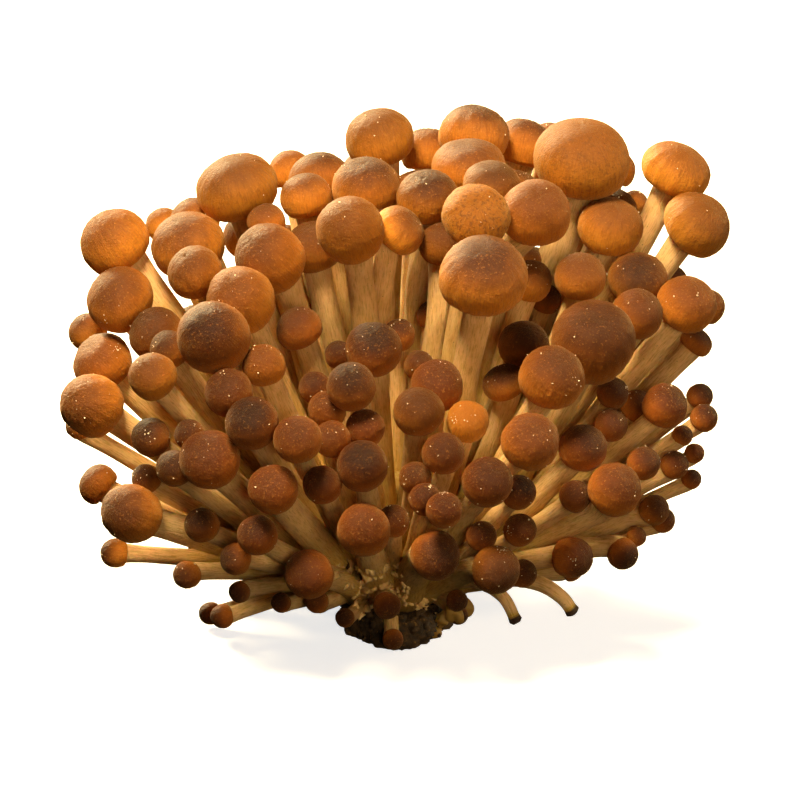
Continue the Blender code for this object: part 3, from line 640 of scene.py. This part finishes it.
def cap_material(name):
    """Velvety cap skin: dark over the apex, lighter towards the margin, pale under it; a painted rim
    highlight on the margin's edge, pale speckles that are partly painted highlights, and a gold tone that is
    partly painted light.
    """
    n = Nodes(name)
    place = n.add("ShaderNodeTexCoord", {}).outputs["Object"]
    grain = n.mark("grain", "Vector")
    band, gold_and_painted_light, umbo, shade, flecked = (n.mark(x) for x in ("band", "gold_and_painted_light", "umbo", "shade", "flecked"))
    cloud = n.noise(place, 260, 4, 0.6)
    speckle_and_painted_highlight = n.noise(place, 1900, 3, 0.7)
    fibre = n.noise(grain, 2.6, 4, 0.65)
    # The gold mark makes a cap lighter and more golden: partly its own tone, partly painted light on the
    # upper and left caps
    base = n.mix(gold_and_painted_light, (0.13, 0.031, 0.0045), (0.36, 0.125, 0.012))
    rim = n.mix(gold_and_painted_light, (0.40, 0.115, 0.011), (0.68, 0.28, 0.026))
    colour = n.mix(n.span(band, 0.3, 0.95), base, rim)
    dark = n.mix(gold_and_painted_light, (0.016, 0.0045, 0.0025), (0.07, 0.02, 0.006))
    wander = n.math("MULTIPLY_ADD", cloud, 0.5, band)
    patch = n.math("MULTIPLY", n.span(wander, 1.0, 0.35), umbo)
    colour = n.mix(patch, colour, dark)
    colour = n.mix(n.span(fibre, 0.42, 0.68, 0, 0.35), colour, (0.08, 0.018, 0.005))
    # Pale peach speckles: partly fine grain of the skin, partly painted highlights
    colour = n.mix(n.span(speckle_and_painted_highlight, 0.56, 0.7, 0, 0.32), colour, (0.6, 0.25, 0.06))
    chip = n.math("MULTIPLY", n.span(n.noise(place, 1150, 2, 0.6), 0.54, 0.6), flecked)
    colour = n.mix(n.math("MULTIPLY", chip, 0.6), colour, (0.12, 0.04, 0.009))
    tone = n.add("ShaderNodeHueSaturation", {"Hue": 0.5, "Saturation": 1.0,
                                             "Value": n.span(shade, 0, 1, 0.72, 1.22), "Color": colour})
    colour = tone.outputs["Color"]
    # A pale line along the margin's edge: a painted rim highlight
    painted_rim_highlight = n.math("MULTIPLY", n.span(band, 0.93, 0.99), n.span(band, 1.25, 1.02))
    colour = n.mix(n.math("MULTIPLY", painted_rim_highlight, 0.55), colour, (0.72, 0.44, 0.2))
    gills = n.mix(n.span(fibre, 0.3, 0.7), (0.5, 0.3, 0.13), (0.68, 0.47, 0.26))
    colour = n.mix(n.span(band, 1.0, 1.12), colour, gills)
    normal = n.bump(fibre, 0.0002)
    normal = n.bump(speckle_and_painted_highlight, 0.0003, normal)
    n.set(n.shader, {"Base Color": colour, "Roughness": n.span(speckle_and_painted_highlight, 0.3, 0.8, 0.5, 0.72),
                     "Normal": normal, "Subsurface Weight": 0.1, "Subsurface Radius": (1.0, 0.25, 0.04),
                     "Subsurface Scale": 0.003, "Sheen Weight": 0.16, "Sheen Roughness": 0.25,
                     "Sheen Tint": (1.0, 0.75, 0.4, 1), "Specular IOR Level": 0.2})
    return n.material


def stem_material(name):
    """Cream stem flesh with lengthwise fibres, more olive low down and pinker under the cap."""
    n = Nodes(name)
    place = n.add("ShaderNodeTexCoord", {}).outputs["Object"]
    grain = n.mark("grain", "Vector")
    along, shade = n.mark("along"), n.mark("shade")
    stretched = n.add("ShaderNodeMapping", {"Vector": grain, "Scale": (1, 1, 0.13)}).outputs["Vector"]
    fibre = n.noise(stretched, 2.4, 5, 0.7)
    cloud = n.noise(place, 190, 3, 0.6)
    fleck = n.noise(place, 1500, 2, 0.6)
    colour = n.mix(n.span(along, 0.3, 0.95), (0.7, 0.44, 0.1), (0.92, 0.6, 0.29))
    colour = n.mix(n.span(cloud, 0.4, 0.75, 0, 0.4), colour, (0.42, 0.23, 0.045))
    colour = n.mix(n.span(fibre, 0.45, 0.7, 0, 0.55), colour, (0.3, 0.15, 0.03))
    colour = n.mix(n.span(fibre, 0.5, 0.25, 0, 0.35), colour, (0.8, 0.6, 0.36))
    colour = n.mix(n.span(fleck, 0.68, 0.78, 0, 0.75), colour, (0.1, 0.05, 0.02))
    colour = n.mix(n.span(along, 0.2, 0.04, 0, 0.6), colour, (0.16, 0.09, 0.02))
    # Near-black below zero: the bare pins' own dark ends, and painted shade inside the torn stub's hollow
    colour = n.mix(n.span(along, -0.02, -0.3), colour, (0.035, 0.014, 0.006))
    tone = n.add("ShaderNodeHueSaturation", {"Hue": 0.5, "Saturation": 1.0,
                                             "Value": n.span(shade, 0, 1, 0.8, 1.1), "Color": colour})
    normal = n.bump(fibre, 0.0008)
    normal = n.bump(fleck, 0.00012, normal)
    n.set(n.shader, {"Base Color": tone.outputs["Color"], "Roughness": n.span(fibre, 0.2, 0.8, 0.48, 0.7),
                     "Normal": normal, "Subsurface Weight": 0.22, "Subsurface Radius": (1.0, 0.4, 0.1),
                     "Subsurface Scale": 0.003, "Specular IOR Level": 0.4})
    return n.material


def soil_material(name):
    """Damp substrate: near-black soil with tan threads of mycelium and bark."""
    n = Nodes(name)
    place = n.add("ShaderNodeTexCoord", {}).outputs["Object"]
    lump = n.noise(place, 230, 5, 0.65)
    crumb = n.noise(place, 900, 4, 0.7)
    colour = n.mix(n.span(lump, 0.38, 0.62), (0.016, 0.009, 0.004), (0.075, 0.04, 0.014))
    colour = n.mix(n.span(crumb, 0.56, 0.72, 0, 0.8), colour, (0.3, 0.18, 0.06))
    normal = n.bump(lump, 0.001)
    normal = n.bump(crumb, 0.0005, normal)
    n.set(n.shader, {"Base Color": colour, "Roughness": n.span(crumb, 0.3, 0.7, 0.55, 0.95),
                     "Normal": normal})
    return n.material


def speck_material(name):
    """Pale grains of veil and spores."""
    n = Nodes(name)
    place = n.add("ShaderNodeTexCoord", {}).outputs["Object"]
    grain = n.noise(place, 3000, 2)
    n.set(n.shader, {"Base Color": n.mix(grain, (0.85, 0.6, 0.36), (0.95, 0.86, 0.7)), "Roughness": 0.7,
                     "Normal": n.bump(grain, 0.0001)})
    return n.material


# ---------------------------------------------------------------------------------------------
# Pieces


def lump_skin(centre, size, seed, rough, sides=10, **marks):
    """A closed irregular lump, for crumbs and specks."""
    angle = np.linspace(0, 2 * math.pi, sides, endpoint=False)
    tilt = np.linspace(0, math.pi, sides // 2 + 1)[1:-1, None]
    ball = np.stack([np.sin(tilt) * np.cos(angle), np.sin(tilt) * np.sin(angle),
                     np.cos(tilt) * np.ones_like(angle)], axis=-1)
    rng = np.random.default_rng(seed)
    turn = axes_of(rng.normal(size=3))
    ball = ball * (1 + rough * waves(ball, 1.6, seed))[..., None] * rng.uniform(0.55, 1.2, 3)
    ball = centre + size * ball @ turn
    return skin(ball, ball[0].mean(axis=0), ball[-1].mean(axis=0), **marks)


def planted_within(mushrooms):
    """Small mushrooms inside the dome's rear half, from a golden-angle spiral, where there is room."""
    rng = np.random.default_rng(SEED + 3)
    grown_so_far = list(mushrooms)
    for turn in range(INNER_TRIES):
        height = 1 - 1.6 * (turn + 0.5) / INNER_TRIES
        ring = math.sqrt(1 - height * height)
        angle = turn * GOLDEN_ANGLE
        swell = INNER_EGG * rng.uniform(0.9, 1.12)
        width = rng.uniform(*INNER_WIDTH)
        spot = (ring * math.cos(angle), ring * math.sin(angle), height)
        centre = np.array([c + s * swell * p for c, s, p in zip(REAR_CENTRE, REAR_AXES, spot)])
        if centre[1] < INNER_START or centre[2] < INNER_LOWEST:
            continue
        new = mushroom(centre, width, facing(centre), cap_height(width), "inner")
        new["line"] = first_line(new)
        if room_around(new, grown_so_far) > INNER_ROOM:
            grown_so_far.append(new)
    return grown_so_far


def grown():
    """The whole plan with each stem threaded, and how each mushroom looks."""
    mushrooms = (planted(CROWN, "crown") + planted(SHOULDER, "shoulder")
                 + planted(FRONT, "front") + planted(SKIRT, "skirt"))
    spread_out(mushrooms)
    mushrooms = planted_behind(mushrooms)
    thread_stems(mushrooms)
    mushrooms = planted_within(mushrooms)
    rng = np.random.default_rng(SEED)
    for number, m in enumerate(mushrooms):
        x, y, z = m["centre"]
        width = m["width"]
        m["seed"] = 1000 + 10 * number
        m["open"] = width >= OPEN_CAP_WIDTH
        m["plump"] = rng.uniform(0.9, 1.0)
        m["dimple"] = rng.uniform(-0.3, 1.0) if m["open"] else 0
        m["wrinkled"] = rng.uniform(0.2, 1.0) if m["open"] else 0.1
        m["shade"] = rng.uniform(0, 1)
        m["umbo"] = rng.uniform(0.5, 1.0) if width > 7 else rng.uniform(0.6, 1)
        # More gold higher up and further left, where the lamps fall, is painted light; the random part is
        # each cap's own tone
        height = eased(60, 115, z)
        m["gold_and_painted_light"] = float(np.clip(0.5 * height + 0.2 * eased(-20, -75, x) + rng.uniform(-0.2, 0.25), 0, 1))
        m["stout"] = rng.uniform(0.92, 1.12)
        m["flecked"] = rng.uniform(0, 0.25)
    for row, m in zip(CROWN + SHOULDER + FRONT + SKIRT, mushrooms):
        m.update(LOOKS.get(row[:2], {}))
    return mushrooms


def clump_of(m):
    """Which clump a mushroom's stem belongs to, counted round the foot."""
    angle = math.atan2(m["centre"][1], m["centre"][0]) - CLUMP_TURN
    return int(angle / (2 * math.pi) * len(CLUMPS) % len(CLUMPS))


def foot_reach(height):
    """How far the fused flesh reaches from its axis at this height."""
    return 12 + 12 * eased(2, 20, height) - 20 * eased(30, 42, height)


def make_foot(material):
    """The fused flesh that all the stems grow out of."""
    heights = np.linspace(3.5, 41, 26)
    angle = np.linspace(0, 2 * math.pi, 96, endpoint=False)
    reach = foot_reach(heights)
    local = np.stack([reach[:, None] * np.cos(angle), reach[:, None] * np.sin(angle),
                      heights[:, None] + 0 * angle], axis=-1)
    swell = 0.1 * waves(local, 14, 5) + 0.05 * waves(local, 5, 6) + 0.025 * waves(local, 2, 7)
    local[..., :2] *= (1 + swell)[..., None]
    rings = local[::-1]
    along = np.full((len(heights), 1), 0.12)
    foot = skin(rings, rings[0].mean(axis=0), rings[-1].mean(axis=0), grain=rings,
                along=along, shade=np.full((1, 1), 0.3))
    new_piece("stem_foot", [foot], material, "stem_flesh", *CLUMPS)


def make_plug(material):
    """The damp lump of substrate, crumbly all round and cut flat underneath."""
    low, high = (np.array(corner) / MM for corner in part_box("substrate_plug"))
    middle, half = (low + high) / 2, (high - low) / 2
    levels = np.array((0, 0.03, 0.12, 0.25, 0.4, 0.55, 0.7, 0.82, 0.92, 1.0, 1.08, 1.15))
    angle = np.linspace(0, 2 * math.pi, 120, endpoint=False)
    reach = 0.93 + 0.05 * np.sin(levels * math.pi) - 0.3 * eased(0.85, 1.2, levels)
    half = half * PLUG_NARROWER
    local = np.stack([half[0] * reach[:, None] * np.cos(angle), half[1] * reach[:, None] * np.sin(angle),
                      2 * half[2] * levels[:, None] + 0 * angle], axis=-1)
    swell = 0.05 * waves(local, 14, 21) + 0.035 * waves(local, 5, 22) + 0.02 * waves(local, 1.5, 23)
    local[..., :2] *= (1 + swell)[..., None]
    local[1:, :, 2] += (0.5 * waves(local, 5, 24) * eased(0.1, 0.6, levels)[:, None])[1:]
    local[..., :2] += middle[:2]
    rings = local[::-1]
    lumps = [skin(rings, rings[0].mean(axis=0), rings[-1].mean(axis=0))]
    rng = np.random.default_rng(SEED + 1)
    for k in range(CRUMBS):
        turn, rise = rng.uniform(0, 2 * math.pi), rng.uniform(0.06, 1.15)
        out = rng.uniform(0.86, 0.97)
        size = rng.uniform(0.4, 1.3)
        spot = middle + (half[0] * out * math.cos(turn), half[1] * out * math.sin(turn), 0)
        spot[2] = max(2 * half[2] * rise, size * 1.3)
        lumps.append(lump_skin(spot, size, 500 + k, 0.3, 8))
    for lump in lumps:
        lump["corners"][:, 2] = np.maximum(lump["corners"][:, 2], 0)
    new_piece("substrate_lump", lumps, material, "substrate", "substrate_plug")


def board_points(rows):
    """Points of the board, in space."""
    return np.array([off_the_board(*row) for row in rows])


def make_bare_pins(material):
    """Pins whose caps never grew: curved, tapering, with a blunt dark end."""
    pins = []
    for number, (rows, thick, thin) in enumerate(BARE_PINS):
        line = smooth_line(board_points(rows), 10)[::-1]
        along = np.linspace(1, 0, len(line))
        radii = thick + (thin - thick) * along + 0.25 * eased(0.9, 0.97, along) - 0.7 * eased(0.985, 1, along)
        dark_end = 0.9 - 1.3 * eased(0.84, 0.95, along)
        pins.append(tube_skin(line, radii, 60 + number, 24, along=dark_end[:, None],
                              shade=np.full((1, 1), 0.5)))
    new_piece("bare_pins", pins, material, "stem_flesh", "stem_clump_6")


def torn_ring(centre, face, radius, height, seed):
    """The hollow stub that is left where a small stem tore away, with painted shade inside its hollow."""
    outline = np.array([(0.2, -0.3), (0.45, -0.25), (0.6, 0.1), (0.72, 0.5), (0.85, 0.62), (1.0, 0.5),
                        (1.05, 0.1), (1.0, -0.5), (0.8, -1.0)])
    angle = np.linspace(0, 2 * math.pi, 28, endpoint=False)
    local = np.stack([outline[:, :1] * radius * np.cos(angle), outline[:, :1] * radius * np.sin(angle),
                      outline[:, 1:] * height + 0 * angle], axis=-1)
    local *= (1 + 0.12 * waves(local, 1.6, seed))[..., None]
    rings = centre + local @ axes_of(face)
    # The inner rows of the hollow are marked below zero, which paints them near-black: painted shade inside
    # the hollow
    along = np.where(np.arange(len(outline)) < 3, -0.2, 0.9)
    return skin(rings, rings[0].mean(axis=0), rings[-1].mean(axis=0), grain=local,
                along=along[:, None], shade=np.full((1, 1), 0.2))


def flesh_at(across, up, points, radii):
    """The first flesh met when going back from in front of the board, on a stem or on the foot."""
    near = np.abs(points[:, 0] - across) < radii.max()
    for depth in np.arange(*FLESH_DEPTHS):
        spot = np.array(off_the_board(across, up, depth))
        on_stem = (np.linalg.norm(points[near] - spot, axis=1) < radii[near]).any()
        if on_stem or math.hypot(spot[0], spot[1]) < foot_reach(spot[2]) * FOOT_SWELL:
            break
    return spot


def make_torn_tissue(mushrooms, material):
    """Crumpled scraps of stem tissue low in front, and the fleshy lumps under them."""
    rng = np.random.default_rng(SEED + 4)
    lines = [smooth_line(m["line"], 4) for m in mushrooms]
    points = np.concatenate(lines)
    radii = np.concatenate([stem_radii(m, np.linspace(0, 1, len(line))) for m, line in zip(mushrooms, lines)])
    plain = dict(grain=np.zeros((1, 1, 3)), shade=np.full((1, 1), 0.0))
    stub = flesh_at(*TORN_STUB, points, radii)
    scraps = [torn_ring(stub, (-0.2, -1, 0.7), 2.2, 1.8, 71)]
    for across, up, count, size in TORN_SCRAPS:
        for k in range(count):
            aside, above = rng.normal(size=2) * (1.5, 1.2)
            spot = flesh_at(across + aside, up + above, points, radii)
            scraps.append(lump_skin(spot, size * rng.uniform(0.6, 1.2), 700 + len(scraps), 0.5, 12,
                                    along=np.full((1, 1), 0.85), **plain))
    for across, up, size in FLESHY_LUMPS:
        spot = flesh_at(across, up, points, radii)
        scraps.append(lump_skin(spot, size, 900 + len(scraps), 0.24, 32, along=np.full((1, 1), 0.03),
                                **plain))
    for scrap in scraps:
        scrap["corners"][:, 2] = np.maximum(scrap["corners"][:, 2], 0)
    new_piece("torn_tissue", scraps, material, "stem_flesh", "stem_clump_5")


def make_specks(mushrooms, material):
    """Pale grains scattered over the caps, thicker in a few patches."""
    rng = np.random.default_rng(SEED + 2)
    specks = []
    for m in mushrooms:
        if m["width"] < 7:
            continue
        outline = cap_outline(m, 26)[:30]
        axes = axes_of(m["face"])
        loose = rng.poisson(LOOSE_SPECKS)
        patch = rng.poisson(PATCH_SPECKS) if rng.uniform() < PATCH_CHANCE else 0
        at, turn = rng.uniform(4, 24), rng.uniform(0, 2 * math.pi)
        for k in range(loose + patch):
            if k < loose:
                row, way = rng.uniform(3, 29), rng.uniform(0, 2 * math.pi)
            else:
                row, way = at + rng.normal() * 2.2, turn + rng.normal() * 0.16
            r, h, _ = outline[int(np.clip(row, 1, 29))]
            spot = m["centre"] + np.array((r * math.cos(way), r * math.sin(way), h)) * 1.005 @ axes
            size = rng.uniform(*SPECK_SIZE)
            specks.append(lump_skin(spot, size, 3000 + len(specks), 0.35, 6))
    new_piece("pale_specks", specks, material, "stem_flesh")


def make_lamp(name, place, size, power, colour):
    """A soft area lamp."""
    lamp = bpy.data.lights.new(name, "AREA")
    lamp.shape = "DISK"
    lamp.size = size
    lamp.energy = power
    lamp.color = colour
    obj = bpy.data.objects.new(name, lamp)
    obj.location = place
    obj.rotation_euler = (Vector(LAMP_AIM) - Vector(place)).to_track_quat("-Z", "Y").to_euler()
    bpy.context.scene.collection.objects.link(obj)


def make_floor():
    """A plain pale floor that rises to a wall far away all round. It lights nothing."""
    turns = [2 * math.pi * k / BOWL_SIDES for k in range(BOWL_SIDES)]
    corners = [(r * math.cos(a), r * math.sin(a), h) for r, h in BOWL for a in turns]
    faces = [tuple(range(BOWL_SIDES))]
    for ring in range(0, BOWL_SIDES * (len(BOWL) - 1), BOWL_SIDES):
        for k in range(BOWL_SIDES):
            after = (k + 1) % BOWL_SIDES
            faces.append((ring + k, ring + BOWL_SIDES + k, ring + BOWL_SIDES + after, ring + after))
    mesh = bpy.data.meshes.new("floor")
    mesh.from_pydata(corners, [], faces)
    n = Nodes("floor")
    n.set(n.shader, {"Base Color": (0.7, 0.7, 0.7, 1), "Roughness": 0.9, "Emission Strength": 0.74,
                     "Emission Color": (1, 1, 1, 1)})
    mesh.materials.append(n.material)
    floor = bpy.data.objects.new("floor", mesh)
    floor.visible_diffuse = False
    floor.visible_glossy = False
    bpy.context.scene.collection.objects.link(floor)


def make_camera():
    """The camera, square to the board that the plan is laid out on."""
    camera = bpy.data.cameras.new("camera")
    camera.lens = CAMERA_LENS
    camera.clip_end = 20
    obj = bpy.data.objects.new("camera", camera)
    back = Vector((0, -math.cos(BOARD_LEAN), math.sin(BOARD_LEAN)))
    obj.location = Vector(CAMERA_TARGET) + CAMERA_DISTANCE * back
    obj.rotation_euler = (-back).to_track_quat("-Z", "Y").to_euler()
    bpy.context.scene.collection.objects.link(obj)
    bpy.context.scene.camera = obj


def make_studio():
    """The floor, soft lamps, a dim warm sky and the camera."""
    make_floor()
    for lamp in LAMPS:
        make_lamp(*lamp)
    world = bpy.data.worlds.new("studio")
    world.use_nodes = True
    world.node_tree.nodes["Background"].inputs["Color"].default_value = (1.0, 0.7, 0.35, 1)
    world.node_tree.nodes["Background"].inputs["Strength"].default_value = 0.012
    bpy.context.scene.world = world
    bpy.context.scene.view_settings.view_transform = "Standard"
    make_camera()


def make_cluster():
    """Every piece of the cluster."""
    mushrooms = grown()
    cap_skin_material = cap_material("cap_skin")
    flesh = stem_material("stem_flesh")
    counts = {}
    for m in mushrooms:
        if not m["open"]:
            continue
        group = m["group"]
        counts[group] = counts.get(group, 0) + 1
        node = f"cap_{group}_{counts[group]:02d}"
        # The crown caps' golden look is partly painted light
        slot = "cap_golden" if group == "crown" else "cap_chestnut"
        new_piece(f"{group}_cap_{counts[group]:02d}", [cap_skin(m)], cap_skin_material, slot, node)
    for number, clump in enumerate(CLUMPS):
        here = [m for m in mushrooms if clump_of(m) == number]
        buttons = [cap_skin(m) for m in here if not m["open"]]
        new_piece(f"buttons_{number + 1}", buttons, cap_skin_material, "cap_chestnut", clump)
        stems = [stem_skin(m) for m in here]
        new_piece(f"stems_{number + 1}", stems, flesh, "stem_flesh", clump)
    make_foot(flesh)
    make_bare_pins(flesh)
    make_torn_tissue(mushrooms, flesh)
    make_plug(soil_material("substrate"))
    make_specks(mushrooms, speck_material("specks"))


make_cluster()
make_studio()
